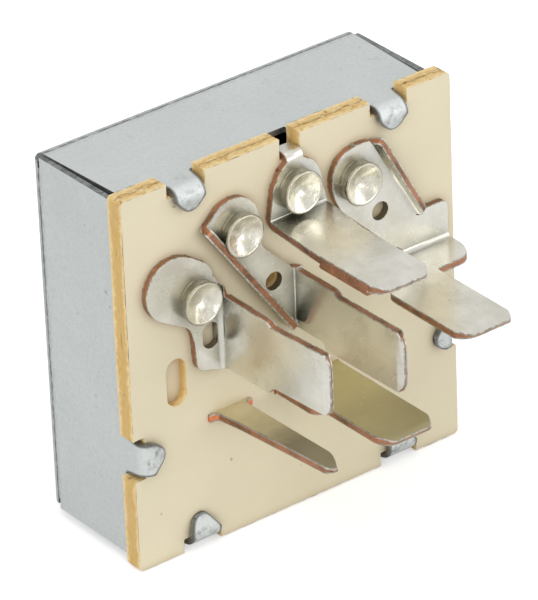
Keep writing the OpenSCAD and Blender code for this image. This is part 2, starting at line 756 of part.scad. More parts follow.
module high_speed_terminal() color(tin) at_contact(3) {
  lobe = drawn([-2.42, 1.88]);
  lobe_r = drawn(3.25);
  end = drawn(2.18);
  low = drawn(-8.32);
  bend = high_bend;
  difference() {
    facing(strip_t) difference() {
      union() {
        translate(lobe) circle(lobe_r);
        polygon(concat(
          [lobe, lobe + lobe_r * [cos(85), sin(85)]],
          drawn([[-0.32, 4.48], [1.58, 3.08], [1.95, 1.88], [2.18, 1.48], [2.18, -8.32], [1.6, -8.0],
                 [0.78, -7.82], [0.78, -6.72], [-0.32, -6.72], [-0.42, -5.4], [-0.5, -4.3],
                 [-0.68, -3.5], [-0.95, -2.9], [-1.42, -2.45]]),
          [lobe + lobe_r * [cos(240), sin(240)]]));
        translate(drawn([0.78, -6.72])) circle(drawn(1.1));
      }
      translate(drawn([1.4, -4.32])) oblong(high_slot_w, high_slot_h);
    }
    rivet_hole();
  }
  intersection() {
    translate([end, -strip_t - bend, 0]) quarter_bend(bend, low, drawn(1.48));
    translate([0, 1, 0]) facing(4)
      polygon([[end, drawn(1.48)], [end + 0.5, drawn(0.6)], [end + 0.9, drawn(-0.3)],
               [end + bend + strip_t, drawn(-0.72)], [end + bend + strip_t, low + 0.27], [end, low]]);
  }
  translate([0, -strip_t - bend, 0]) edge_blade(end + bend, high_len - strip_t - bend)
    polygon(blade_points(low + 0.27, drawn(-0.5), high_root, drawn(-4.05), 0.5,
      high_len - strip_t - bend, high_corner, high_corner));
}

module medium_high_terminal() color(tin) at_contact(2) {
  head = drawn([-0.43, 0.64]);
  end = drawn(6.17);
  mid = drawn(-10);
  bend = medium_high_bend;
  len = medium_high_len - strip_t - bend;
  corner = drawn([-3.46, 1.82]);
  rim_end = drawn([6.17, -11.85]);
  seat = rim_seat(rim_end, corner);
  difference() {
    facing(strip_t) difference() {
      union() {
        difference() {
          translate(head) circle(drawn(2.95));
          beyond(rim_end, corner);
        }
        polygon(concat(
          [rim_end + seat],
          drawn([[6.17, -6.1], [5.77, -5.63], [4.81, -4.64], [3.68, -3.58], [2.67, -2.52], [2.52, 0.64],
                 [-0.43, 0.64], [-2.2, 2.98]]),
          [corner + seat]));
      }
      translate(medium_high_hole) circle(plate_hole / 2);
    }
    rivet_hole();
  }
  plate_rim(rim_end, corner, medium_high_lean);
  translate([end, -strip_t - bend, 0]) quarter_bend(bend, drawn(-12.46), drawn(-6.1));
  translate([0, -strip_t - bend, 0]) edge_blade(end + bend, len)
    polygon(concat(
      [[0, drawn(-6.36)], [-medium_high_root, drawn(-6.36)],
       [-medium_high_root - root_step, mid + blade_w / 2]],
      blade_tip(mid + 0.15, len, medium_high_corner, medium_high_corner),
      [[-low_root - 0.2, mid - blade_w / 2], [-low_root, drawn(-12.46)], [0, drawn(-12.46)]]));
}

module medium_low_terminal() color(tin) at_contact(1) {
  left = drawn(-3.16);
  right = drawn(3.42);
  top = drawn(-2.5);
  mid = drawn(-0.48);
  bend = medium_low_bend;
  len = medium_low_len - strip_t - bend;
  tongue_top = tongue_z - centre_shift - contact_r * sin(first_angle + step);
  tongue_left = tongue_x - centre_shift - contact_r * cos(first_angle + step);
  tongue_right = tongue_left + tongue_w;
  difference() {
    facing(strip_t) polygon(concat(
      [[left, top + bend]], drawn([[-2.96, -1.06], [-2.81, -0.14], [-2.58, 0.89], [-1.79, 2.24]]),
      [[tongue_left, drawn(2.9)], [tongue_left, tongue_top], [tongue_right, tongue_top],
       [tongue_right, drawn(2.95)]], drawn([[2.05, 2.3], [2.6, 1.5], [2.88, 0.7], [3.1, -0.8], [3.34, -1.6]]),
      [[right, top + bend]]));
    rivet_hole();
  }
  translate([0, -strip_t - bend, top + bend]) lying_bend(bend, left, right);
  translate([0, -strip_t - bend, 0]) flat_blade(top, len) polygon(across(concat(
    [[0, right], [-0.5, right], [-6, mid + blade_w / 2]],
    blade_tip(mid, len, medium_low_corner, medium_low_corner),
    [[-6, mid - blade_w / 2], [-0.5, left], [0, left]])));
  translate([mid - blade_w / 2, 2 - medium_low_len, top - strip_t - burr_h])
    cube([burr_w, burr_l, burr_h + 0.1]);
  translate([tongue_left, 0, tongue_top]) upright(tongue_w) {
    intersection() {
      circle(strip_t);
      translate([-strip_t, 0]) square(strip_t);
    }
    square([tongue_reach, strip_t]);
  }
}

module low_speed_terminal() color(tin) at_contact(0) {
  head = drawn([-0.02, 0.67]);
  top = drawn(-9.83);
  bend = low_bend;
  len = low_len - strip_t - bend;
  rim_top = drawn([1.95, 3.17]);
  rim_low = drawn([6.98, -6.18]);
  root = drawn([5.18, 10.8]);
  mid = drawn(2.72);
  seat = rim_seat(rim_top, rim_low);
  difference() {
    facing(strip_t) difference() {
      union() {
        translate(head) circle(drawn(2.85));
        polygon(concat(
          drawn([[-1.93, -2.63], [-2.6, -1.22], [-2.92, 0.2], [-0.02, 0.67], [-0.02, 3.62], [0.51, 3.6],
                 [1.75, 3.52]]),
          [rim_top + seat, rim_low + seat], drawn([[7.3, -6.4], [8.03, -5.9], [10.82, -5.93]]),
          [[root[1], top + bend], [root[0], top + bend]], drawn([[4.7, -8.9], [3.94, -8.46]])));
      }
      translate(drawn([2.65, -4.21])) circle(plate_hole / 2);
    }
    rivet_hole();
  }
  plate_rim(rim_top, rim_low, low_lean);
  translate([0, -strip_t - bend, top + bend]) lying_bend(bend, root[0], root[1]);
  translate([0, -strip_t - bend, 0]) flat_blade(top, len) polygon(across(concat(
    [[0, root[1]], [-1.6, root[1]]], drawn([[-3.15, 10.1], [-3.6, 9.28], [-3.7, 6.5], [-3.75, 5.9]]),
    [[drawn(-4.9), mid + blade_w / 2 + 0.05]], blade_tip(mid, len, low_corner_right, low_corner_left),
    [[drawn(-4.9), mid - blade_w / 2 + 0.05], drawn([-4.2, -0.2]), [-1.3, root[0]], [0, root[0]]])));
}

// The foot of a slot blade lies on the back of the inner sheet
module foot(a, b) {
  translate([0, inner_y, -slot_z]) lying_bend(0, a, b);
  translate([0, contact_y, 0]) facing(strip_t) children();
}
// Points far out on a fan between two angles
function fan(from, to) = [for (k = [0 : 8]) let (a = from + (to - from) * k / 8) 20 * [cos(a), sin(a)]];

module feed_terminal() color(tin) {
  foot(feed_a, feed_b) difference() {
    union() {
      intersection() {
        circle(ring_out);
        translate([-20, -slot_z]) square(40);
      }
      translate([feed_a, -slot_z]) square([feed_b - feed_a, (ring_out - ring_in) / 2]);
    }
    circle(ring_in);
  }
  translate([0, inner_y, 0]) flat_blade(-slot_z, feed_len + stack_t)
    polygon(across(blade_points(feed_a, feed_b, feed_root + stack_t, feed_mid, 0.05, feed_len + stack_t,
      feed_corner, feed_corner)));
}

module pilot_terminal() color(tin) {
  foot(pilot_a, pilot_b) {
    intersection() {
      difference() {
        circle(arc_out);
        circle(arc_in);
      }
      polygon(concat([[0, 0]], fan(arc_from, arc_to)));
    }
    translate([pilot_a, -slot_z]) square([pilot_b - pilot_a, arc_out - arc_in - 0.2]);
  }
  len = pilot_len + stack_t;
  translate([0, inner_y, 0]) flat_blade(-slot_z, len)
    polygon([[pilot_a, 0], [pilot_a, -stack_t], [pilot_a + 0.5, -stack_t - 3.2],
             [drawn(-9.05), -stack_t - 11],
             [drawn(-8.75), 0.6 - len], [drawn(-8.2), -len], [drawn(-7.75), -len],
             [drawn(-6.65), 2.2 - len], [drawn(-6.95), -stack_t - 1], [pilot_b, -stack_t], [pilot_b, 0]]);
  translate([pilot_a - shoulder_left, front_y - shoulder_h, -slot_z - strip_t])
    cube([pilot_b - pilot_a + shoulder_left + shoulder_right, shoulder_h, strip_t]);
}

// Hollow rivets: flared rim outside, flat head inside
module terminal_rivets() color(tin) for (i = [0 : speeds - 1]) at_contact(i) rotate([90, 0, 0])
  rotate_extrude() polygon([
    [0, -stack_t - strip_t], [head_r - head_chamfer, -stack_t - strip_t],
    [head_r, -stack_t - strip_t + head_chamfer], [head_r, -stack_t], [shank_r, -stack_t], [shank_r, strip_t],
    [flare_r - 0.3, strip_t], [flare_r - 0.1, strip_t + flare_h * 0.5], [flare_r, rivet_top - 0.3],
    [flare_r - 0.07, rivet_top - 0.08], [flare_r - 0.15, rivet_top], [flare_r - lip_w, rivet_top - 0.06],
    [flare_r - lip_w - 0.25, rivet_top - hollow_depth * 0.35], [0.9, rivet_top - hollow_depth * 0.8],
    [hollow_r, rivet_top - hollow_depth], [0, rivet_top - hollow_depth]]);

case();
threaded_bush();
control_shaft();
retaining_ring();
thrust_washer();
detent_plate();
rotor();
detent_balls();
detent_springs();
contact_spring();
contact_bridge();
inner_board();
terminal_board();
high_speed_terminal();
medium_high_terminal();
medium_low_terminal();
low_speed_terminal();
feed_terminal();
pilot_terminal();
terminal_rivets();
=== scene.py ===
"""Finish of a rotary blower switch: folded zinc-plated box, two paper laminate sheets,
tinned copper blades with bare sheared edges, hollow rivets, threaded bush and shaft."""
import math

import bmesh
import bpy
from mathutils import Matrix, Vector, noise
from mathutils.bvhtree import BVHTree


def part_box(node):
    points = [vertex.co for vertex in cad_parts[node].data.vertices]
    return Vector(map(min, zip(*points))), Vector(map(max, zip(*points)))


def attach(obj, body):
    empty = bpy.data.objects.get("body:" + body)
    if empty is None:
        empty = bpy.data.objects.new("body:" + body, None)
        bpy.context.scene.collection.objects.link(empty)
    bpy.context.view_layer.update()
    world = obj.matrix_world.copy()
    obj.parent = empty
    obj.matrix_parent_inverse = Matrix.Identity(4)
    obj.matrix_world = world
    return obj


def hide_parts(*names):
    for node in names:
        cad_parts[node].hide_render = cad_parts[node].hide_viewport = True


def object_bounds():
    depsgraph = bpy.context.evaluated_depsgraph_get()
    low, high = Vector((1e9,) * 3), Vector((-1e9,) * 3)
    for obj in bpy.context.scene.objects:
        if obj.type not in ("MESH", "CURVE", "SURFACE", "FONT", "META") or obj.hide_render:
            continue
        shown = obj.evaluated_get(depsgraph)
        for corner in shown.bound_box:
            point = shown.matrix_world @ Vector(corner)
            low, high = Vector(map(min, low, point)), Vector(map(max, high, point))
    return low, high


bl_info = {
    "name": "Rotary blower switch",
    "version": (1, 0, 0),
    "blender": (4, 5, 0),
    "location": "View3D > Sidebar > Blower switch",
    "description": "Builds the visible finish of a rotary blower switch with blade terminals",
    "category": "Object",
}

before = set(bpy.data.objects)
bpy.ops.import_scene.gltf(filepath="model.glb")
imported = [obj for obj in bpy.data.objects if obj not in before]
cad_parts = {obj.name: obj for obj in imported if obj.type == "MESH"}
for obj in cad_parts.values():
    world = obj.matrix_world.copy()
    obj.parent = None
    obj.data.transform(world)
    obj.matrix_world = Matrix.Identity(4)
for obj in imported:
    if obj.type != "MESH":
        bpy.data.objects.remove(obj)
CAD_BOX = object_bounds()
MM = 0.001

# The body that stays, and the body that turns with the shaft.
FIXED = "switch_body"
TURNING = "control"

PLATE_NODES = ("high_speed_terminal", "medium_high_terminal", "medium_low_terminal",
               "low_speed_terminal", "feed_terminal", "pilot_terminal")
SLOT_NODES = ("feed_terminal", "pilot_terminal")
INNER_FINISHES = {
    "detent_plate": "zinc_plate", "rotor": "black_moulding", "thrust_washer": "spring_strip",
    "detent_balls": "ball_steel", "detent_springs": "spring_strip",
    "contact_spring": "spring_strip", "contact_bridge": "contact_bronze",
}

# Sizes and places in millimetres. The mounting face lies at y 0, and the blades point to -y.
STEEL = 0.6             # thickness of the box's sheet
COPPER = 0.8            # thickness of the plates
WIDEST_HOLE = 2.75      # widest hole that is punched in a plate
FOLD_END = -1.2         # where the folds round the mounting face end
FOLD_LINES = (-1.25, -0.45)     # worn lines along those folds
BOX_MOUTH = -12.6       # where the tabs begin, at the inner sheet
SHEET_SEAM = -13.6      # between the two sheets
SHEET_FACE = -14.6      # outer face of the terminal sheet
PILOT_SIDE = -5.4       # x between the feed blade and the pilot blade
SLOT_SIDE = -5.75       # z below which the slot blades leave the sheet
RIVET_CIRCLE = 14.0     # radius of the circle that the rivets stand on
FIRST_RIVET, RIVET_STEP = 61.3, 30.0    # places on that circle, in degrees


def colour_prop(name, description, default):
    """A colour that a user can change in the panel."""
    return bpy.props.FloatVectorProperty(
        name=name, description=description, default=default, size=3,
        min=0.0, max=1.0, subtype="COLOR")


def length_prop(name, description, millimetres):
    """A length in scene units, with its default given in millimetres."""
    return bpy.props.FloatProperty(
        name=name, description=description, default=millimetres * MM, min=0.0,
        precision=5, subtype="DISTANCE", unit="LENGTH")


def angle_prop(name, description, radians):
    """An angle, with its default given in radians."""
    return bpy.props.FloatProperty(
        name=name, description=description, default=radians, subtype="ANGLE", unit="ROTATION")


# Settings ------------------------------------------------------------------

class BoxSettings(bpy.types.PropertyGroup):
    """Finish of the folded steel box."""
    zinc: colour_prop("Zinc", "Colour of the zinc plating", (0.62, 0.65, 0.64))
    stain: colour_prop("Stain", "Colour of scuffs and dull marks", (0.27, 0.275, 0.28))
    speckle: length_prop("Speckle", "Size of the fine specks in the plating", 0.35)


class SheetSettings(bpy.types.PropertyGroup):
    """Finish of the two insulating sheets."""
    face: colour_prop("Face", "Colour of the laminate faces", (0.725, 0.65, 0.47))
    edge: colour_prop("Edge", "Colour of the punched edges", (0.66, 0.42, 0.135))
    fibre: colour_prop("Fibre", "Colour of torn fibres on the edges", (0.84, 0.665, 0.365))
    ragged: length_prop("Ragged", "Depth of the roughness on punched edges", 0.12)


class BladeSettings(bpy.types.PropertyGroup):
    """Finish of the six copper terminals."""
    tin: colour_prop("Tin", "Colour of the tin plating", (0.80, 0.785, 0.72))
    dull_tin: colour_prop("Dull tin", "Colour of the duller tin areas", (0.62, 0.60, 0.51))
    copper: colour_prop("Copper", "Colour of the sheared copper", (0.42, 0.195, 0.11))
    dark_copper: colour_prop("Dark copper", "Colour of the oxidised copper", (0.18, 0.105, 0.06))
    fresh_copper: colour_prop(
        "Fresh copper", "Colour of the copper at the slots", (0.72, 0.24, 0.10))
    aged_tin: colour_prop("Aged tin", "Colour of the tin on the feed blade", (0.66, 0.60, 0.345))
    worn_tin: colour_prop("Worn tin", "Colour of the tin on the pilot blade", (0.75, 0.69, 0.51))
    hole: colour_prop("Hole", "Colour inside the punched holes", (0.21, 0.18, 0.12))
    slot_round: length_prop("Slot round", "Width of the rolled edges of the two slot blades", 0.10)
    plate_round: length_prop(
        "Plate round", "Width of the rolled edges of the four riveted plates", 0.03)
    smear: length_prop("Smear", "Width that the tin is smeared over a sheared edge", 0.20)
    corner_round: length_prop(
        "Corner round", "Size of the rounding on the corners of the outline", 0.7)


class RivetSettings(bpy.types.PropertyGroup):
    """Hollow rivets that hold the speed terminals."""
    tin: colour_prop("Bright tin", "Colour of the bright tin on the rivets", (0.81, 0.785, 0.685))
    tarnish: colour_prop("Tarnish", "Colour of the worn barrel of the rivets", (0.36, 0.33, 0.24))
    steps: bpy.props.IntProperty(
        name="Steps", description="Divisions round a rivet", default=72, min=24, max=128)


class BushSettings(bpy.types.PropertyGroup):
    """Thread of the mounting bush, and the finish of what turns in it."""
    pitch: length_prop("Pitch", "Pitch of the thread", 0.8)
    depth: length_prop("Depth", "Depth of the thread", 0.42)
    plating: colour_prop("Plating", "Colour of the plated bush", (0.56, 0.57, 0.56))
    turned: colour_prop("Turned steel", "Colour of the turned shaft", (0.50, 0.505, 0.51))
    ring: colour_prop("Ring steel", "Colour of the snap ring", (0.30, 0.305, 0.32))
    edge_round: length_prop("Edge round", "Rounding on the edges of the shaft and ring", 0.06)


class WorksSettings(bpy.types.PropertyGroup):
    """Finishes of the pieces inside the box."""
    moulding: colour_prop("Moulding", "Colour of the black moulded rotor", (0.018, 0.017, 0.016))
    spring: colour_prop(
        "Spring strip", "Colour of the springs and the washer", (0.33, 0.335, 0.35))
    ball: colour_prop("Ball steel", "Colour of the two balls", (0.62, 0.63, 0.64))
    bronze: colour_prop("Bronze", "Colour of the contact bridge", (0.52, 0.25, 0.15))


class StageSettings(bpy.types.PropertyGroup):
    """Camera, floor and lamps."""
    turn: angle_prop("Turn", "Turn of the camera round the object", 0.64284)
    rise: angle_prop("Rise", "Height angle of the camera", 0.51777)
    roll: angle_prop("Roll", "Roll of the camera", -0.04132)
    lens: bpy.props.FloatProperty(
        name="Lens", description="Focal length", default=344.62, min=20.0, max=600.0,
        subtype="DISTANCE_CAMERA")
    distance: length_prop("Distance", "Distance from the camera to the sheets", 536.957)
    floor_gap: length_prop("Floor gap", "Gap between the object and the floor", 0.1)
    lamp_power: bpy.props.FloatProperty(
        name="Lamp power", description="Brightness of all lamps together, 1 as set up",
        default=1.0, min=0.0, max=50.0)


# Mesh helpers --------------------------------------------------------------

def merged_copy(node):
    """A bmesh copy of a CAD node with its loose triangles joined into clean faces."""
    bm = bmesh.new()
    bm.from_mesh(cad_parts[node].data)
    bmesh.ops.remove_doubles(bm, verts=bm.verts, dist=0.002 * MM)
    bmesh.ops.dissolve_limit(
        bm, angle_limit=math.radians(0.6), use_dissolve_boundaries=False,
        verts=bm.verts, edges=bm.edges, delimit=set())
    bmesh.ops.recalc_face_normals(bm, faces=bm.faces)
    return bm


def bend_angle(edge):
    """Angle between the two faces of an edge, or zero on an open edge."""
    return edge.calc_face_angle(0.0) if len(edge.link_faces) == 2 else 0.0


def mark_sheared(bm, sheet, hole=0.0):
    """Gives the cut edges of a sheet metal piece the second material, and the walls of
    holes up to a width the third. Behind a plated face the metal is about as deep as the
    sheet is thick, and behind a cut edge it is deeper. The larger part of a face decides."""
    tree = BVHTree.FromBMesh(bm)
    step = 0.001 * MM
    votes = {face: [0.0, 0.0, 0.0] for face in bm.faces}
    for loops in bm.calc_loop_triangles():
        face = loops[0].face
        a, b, c = (loop.vert.co for loop in loops)
        area = (b - a).cross(c - a).length
        middle = (a + b + c) / 3.0
        depth = tree.ray_cast(middle - face.normal * step, -face.normal)[3] or 1.0
        gap = tree.ray_cast(middle + face.normal * step, face.normal)[3] or 1.0
        kind = 0 if 0.6 * sheet < depth < 1.08 * sheet else 2 if gap < hole else 1
        votes[face][kind] += area
    for face, vote in votes.items():
        face.material_index = vote.index(max(vote))


def round_corners(bm, radius):
    """Rounds the corners of the outline, which are the edges that run through the sheet,
    and leaves out those that have no room for it."""
    least_bend, least_room = math.radians(11), 0.12 * MM
    for edge in [e for e in bm.edges if bend_angle(e) > least_bend]:
        if not edge.is_valid or any(f.material_index == 0 for f in edge.link_faces):
            continue
        sides = [e for v in edge.verts for e in v.link_edges if e is not edge]
        room = 0.4 * min(e.calc_length() for e in sides)
        if room < least_room:
            continue
        bmesh.ops.bevel(
            bm, geom=[edge], offset=min(radius, room), offset_type="OFFSET", segments=4,
            profile=0.5, affect="EDGES", clamp_overlap=True, material=-1)
    bmesh.ops.remove_doubles(bm, verts=bm.verts, dist=0.05 * MM)


def sharp_edges(bm):
    """The edges that a hand would feel as sharp."""
    return [e for e in bm.edges if bend_angle(e) > math.radians(40)]


def mesh_object(bm, name):
    """Turns a bmesh into an object of the scene."""
    mesh = bpy.data.meshes.new(name)
    bm.to_mesh(mesh)
    bm.free()
    obj = bpy.data.objects.new(name, mesh)
    bpy.context.scene.collection.objects.link(obj)
    return obj


def finished_object(bm, name, body, materials, replaces):
    """Turns a bmesh into a finished piece that rides on its body."""
    obj = mesh_object(bm, name)
    mesh = obj.data
    mesh.polygons.foreach_set("use_smooth", [True] * len(mesh.polygons))
    mesh.set_sharp_from_angle(angle=math.radians(38))
    for material in materials:
        mesh.materials.append(material)
    normals = obj.modifiers.new("even_shading", "WEIGHTED_NORMAL")
    normals.keep_sharp = True
    normals.weight = 90
    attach(obj, body)
    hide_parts(*replaces)


# Material helpers ----------------------------------------------------------

def shaded(colour, by):
    """A darker or lighter shade of a colour."""
    return tuple(min(1.0, by * c) for c in colour)


def tinted(colour, tint):
    """A colour seen through a tint."""
    return tuple(a * b for a, b in zip(colour, tint))


def feed(tree, value, socket):
    """Links a value into a socket, or sets it there if it is a constant."""
    if isinstance(value, bpy.types.NodeSocket):
        tree.links.new(value, socket)
    else:
        socket.default_value = value


def arithmetic(tree, kind, first, second):
    """Arithmetic on two values."""
    node = tree.nodes.new("ShaderNodeMath")
    node.operation = kind
    feed(tree, first, node.inputs[0])
    feed(tree, second, node.inputs[1])
    return node.outputs[0]


def seen_level(tree, direct, mirrored):
    """One level for what the camera sees, another for what metal and glass show of it."""
    path = tree.nodes.new("ShaderNodeLightPath").outputs
    mirror = arithmetic(tree, "MAXIMUM", path["Is Glossy Ray"], path["Is Transmission Ray"])
    return arithmetic(tree, "MAXIMUM",
                      arithmetic(tree, "MULTIPLY", path["Is Camera Ray"], direct),
                      arithmetic(tree, "MULTIPLY", mirror, mirrored))


class Finish:
    """A node material on object coordinates, built step by step."""

    def __init__(self, name, **sockets):
        """Starts a material, with constant values on the shader's own sockets."""
        self.material = bpy.data.materials.new(name)
        self.material.use_nodes = True
        self.tree = self.material.node_tree
        self.shader = self.tree.nodes["Principled BSDF"]
        self.place = self.tree.nodes.new("ShaderNodeTexCoord").outputs["Object"]
        for socket, value in sockets.items():
            self.shader.inputs[socket.replace("_", " ")].default_value = value

    def node(self, kind, **inputs):
        """A new node with values or links on its named inputs."""
        node = self.tree.nodes.new(kind)
        for socket, value in inputs.items():
            feed(self.tree, value, node.inputs[socket.replace("_", " ")])
        return node

    def stretched(self, scale):
        """Object coordinates scaled by a vector."""
        return self.node("ShaderNodeMapping", Vector=self.place, Scale=scale).outputs["Vector"]

    def clouds(self, size, detail, rough=0.55, place=None, seed=0.0):
        """Noise of about one feature per size."""
        node = self.node("ShaderNodeTexNoise", Scale=1.0 / size, Detail=detail, Roughness=rough,
                         Vector=place or self.place)
        node.noise_dimensions = "4D"
        node.inputs["W"].default_value = seed
        return node.outputs["Fac"]

    def along(self, axis):
        """The place along one axis."""
        return self.node("ShaderNodeSeparateXYZ", Vector=self.place).outputs[axis]

    def ramp(self, source, low, high, out_low=0.0, out_high=1.0):
        """Maps low..high of the source to out_low..out_high, clamped."""
        return self.node("ShaderNodeMapRange", Value=source, From_Min=low, From_Max=high,
                         To_Min=out_low, To_Max=out_high).outputs["Result"]

    def blend(self, amount, first, second):
        """Colour that goes from the first to the second with the amount. A Mix node has
        its colours at inputs 6 and 7, and the mixed colour at output 2."""
        node = self.tree.nodes.new("ShaderNodeMix")
        node.data_type = "RGBA"
        feed(self.tree, amount, node.inputs[0])
        for value, number in ((first, 6), (second, 7)):
            if not isinstance(value, bpy.types.NodeSocket):
                value = (*value[:3], 1.0)
            feed(self.tree, value, node.inputs[number])
        return node.outputs[2]

    def times(self, first, second):
        """One value times another."""
        return arithmetic(self.tree, "MULTIPLY", first, second)

    def plus(self, first, second):
        """One value plus another."""
        return arithmetic(self.tree, "ADD", first, second)

    def minus(self, first, second):
        """One value less another."""
        return arithmetic(self.tree, "SUBTRACT", first, second)

    def larger(self, first, second):
        """The larger of two values."""
        return arithmetic(self.tree, "MAXIMUM", first, second)

    def away(self, value):
        """How far a value is from zero, to either side."""
        return arithmetic(self.tree, "ABSOLUTE", value, 0.0)

    def sway(self, cloud, width):
        """Noise as a shift to both sides."""
        return self.times(self.minus(cloud, 0.5), width)

    def stored(self, name):
        """A value stored on the mesh."""
        node = self.tree.nodes.new("ShaderNodeAttribute")
        node.attribute_name = name
        return node.outputs["Fac"]

    def hidden(self, reach, amount):
        """How far the surface is closed in by its neighbours: the amount for painted shade there,
        and for dirt in the bush's grooves.
        """
        node = self.node("ShaderNodeAmbientOcclusion", Distance=reach)
        return self.ramp(node.outputs["AO"], 0.9, 0.3, 0.0, amount)

    def outline(self, reach):
        """How near the surface is to a sharp edge of its own piece."""
        node = self.node("ShaderNodeAmbientOcclusion", Distance=reach)
        node.inside = True
        node.only_local = True
        return self.ramp(node.outputs["AO"], 0.93, 0.70)

    def finish(self, colour, rough, height, depth, strength):
        """Links what varies over the surface to the shader, with a bump of a real depth."""
        bump = self.node("ShaderNodeBump", Distance=depth, Strength=strength, Height=height)
        for source, socket in ((colour, "Base Color"), (rough, "Roughness"),
                               (bump.outputs["Normal"], "Normal")):
            feed(self.tree, source, self.shader.inputs[socket])
        return self.material


def zinc_finish(name, zinc, stain, speck):
    """Dull zinc plating: fine specks, soft patches and scuffs, streaks and worn lines on
    the folds, blotches on the tabs, and painted shade as dark outlines along their edges."""
    f = Finish(name, Metallic=0.60, Specular_Tint=(0.55, 0.56, 0.57, 1.0))
    y = f.along("Y")
    patches = f.clouds(9 * MM, 3.0)
    specks = f.clouds(speck, 3.0, 0.7, seed=2.0)
    pits = f.ramp(f.clouds(0.7 * MM, 2.0, 0.6, seed=5.0), 0.69, 0.77, 0.0, 0.6)
    scuffs = f.ramp(f.clouds(2.4 * MM, 6.0, 0.75, seed=8.0), 0.60, 0.78, 0.0, 0.5)
    streaks = f.clouds(0.8 * MM, 5.0, 0.7, f.stretched((1.0, 5.0, 1.0)), 12.0)
    fold = f.times(f.ramp(y, (FOLD_END - 0.8) * MM, FOLD_END * MM), f.ramp(y, 0.0, -0.2 * MM))
    creases = f.times(fold, f.ramp(streaks, 0.44, 0.58, 0.0, 0.6))
    colour = f.blend(f.ramp(patches, 0.3, 0.7), zinc, shaded(zinc, 1.08))
    colour = f.blend(f.ramp(specks, 0.35, 0.75, 0.0, 0.45), colour, shaded(zinc, 0.80))
    colour = f.blend(f.larger(f.larger(pits, scuffs), creases), colour, stain)
    blotches = f.ramp(f.clouds(0.7 * MM, 4.0, 0.7, seed=17.0), 0.50, 0.64, 0.0, 0.75)
    lips = f.ramp(y, (SHEET_FACE - 0.3) * MM, (SHEET_FACE - 0.7) * MM)
    colour = f.blend(f.times(blotches, lips), colour, shaded(stain, 1.1))
    # Painted shade and painted dark reflection: dark outlines along the sharp edges of the tabs.
    tabs = f.ramp(y, (BOX_MOUTH + 0.2) * MM, (BOX_MOUTH - 0.2) * MM, 0.0, 0.85)
    colour = f.blend(f.times(f.outline(0.35 * MM), tabs), colour, shaded(stain, 0.45))
    for line in FOLD_LINES:
        near = f.ramp(f.away(f.minus(y, line * MM)), 0.18 * MM, 0.05 * MM)
        worn = f.times(near, f.ramp(streaks, 0.38, 0.52, 0.25, 0.9))
        colour = f.blend(worn, colour, shaded(stain, 0.45))
    rough = f.ramp(specks, 0.3, 0.7, 0.42, 0.56)
    height = f.plus(f.plus(f.times(specks, 0.5), f.times(patches, 1.5)), f.times(fold, streaks))
    return f.finish(colour, rough, height, 0.04 * MM, 0.5)


def shear_finish(name, zinc, stain):
    """Cut edge of the steel sheet, with a burnished band and dark torn spots."""
    f = Finish(name, Metallic=0.85)
    torn = f.clouds(0.6 * MM, 5.0, 0.7, seed=3.0)
    lines = f.clouds(1.6 * MM, 3.0, 0.6, seed=7.0)
    colour = f.blend(f.ramp(lines, 0.35, 0.65), shaded(zinc, 0.30), shaded(zinc, 0.52))
    colour = f.blend(f.ramp(torn, 0.48, 0.62, 0.0, 0.8), colour, shaded(stain, 0.45))
    return f.finish(colour, f.ramp(torn, 0.3, 0.7, 0.35, 0.55), torn, 0.06 * MM, 0.6)


def tin_finish(name, tin, dull, rough):
    """Soft tin plating over copper: cloudy, lightly smeared along the blades, with small
    dents and scratches, and painted shade where it is closed in."""
    f = Finish(name, Metallic=0.95)
    patches = f.clouds(3.2 * MM, 3.0)
    smear = f.clouds(0.5 * MM, 2.0, 0.5, f.stretched((1.0, 0.16, 1.0)), 4.0)
    dents = f.ramp(f.clouds(0.6 * MM, 2.0, 0.6, seed=15.0), 0.72, 0.78)
    lines = f.clouds(1.1 * MM, 1.0, 0.5, f.stretched((1.0, 0.35, 2.5)), 21.0)
    colour = f.blend(f.ramp(patches, 0.38, 0.66, 0.0, 0.7), tin, dull)
    colour = f.blend(f.ramp(smear, 0.45, 0.8, 0.0, 0.25), colour, dull)
    colour = f.blend(f.times(dents, 0.18), colour, shaded(dull, 0.55))
    colour = f.blend(f.ramp(lines, 0.765, 0.785, 0.0, 0.6), colour, shaded(dull, 0.35))
    # Painted shade: the tin is darkened where it is closed in, round the rivets and in the folds.
    colour = f.blend(f.hidden(2.4 * MM, 0.8), colour, tinted(dull, (0.33, 0.35, 0.35)))
    varied = f.ramp(patches, 0.3, 0.7, rough, rough + 0.12)
    height = f.minus(f.plus(patches, f.times(smear, 0.4)), f.times(dents, 0.15))
    return f.finish(colour, varied, height, 0.035 * MM, 0.4)


def aged_finish(name, aged, worn, rough):
    """Yellowed tin on the two slot blades, darker and blotched toward the tips."""
    f = Finish(name, Metallic=0.90)
    patches = f.clouds(2.6 * MM, 4.0, 0.6)
    fine = f.clouds(0.35 * MM, 3.0, 0.6, seed=4.0)
    specks = f.ramp(f.clouds(0.5 * MM, 2.0, 0.6, seed=9.0), 0.66, 0.74, 0.0, 0.35)
    pilot = f.ramp(f.along("X"), (PILOT_SIDE + 0.2) * MM, (PILOT_SIDE - 0.2) * MM)
    reach = f.plus(f.along("Y"), f.sway(patches, 7 * MM))
    tip = f.times(f.ramp(reach, -20.5 * MM, -23.5 * MM), f.plus(f.times(pilot, 0.45), 0.3))
    colour = f.blend(pilot, aged, worn)
    colour = f.blend(f.ramp(patches, 0.38, 0.66, 0.0, 0.4), colour, shaded(aged, 0.75))
    colour = f.blend(tip, colour, shaded(worn, 0.42))
    colour = f.blend(specks, colour, shaded(worn, 1.3))
    varied = f.ramp(patches, 0.3, 0.7, rough, rough + 0.12)
    return f.finish(colour, varied, f.plus(patches, f.times(fine, 0.3)), 0.035 * MM, 0.4)


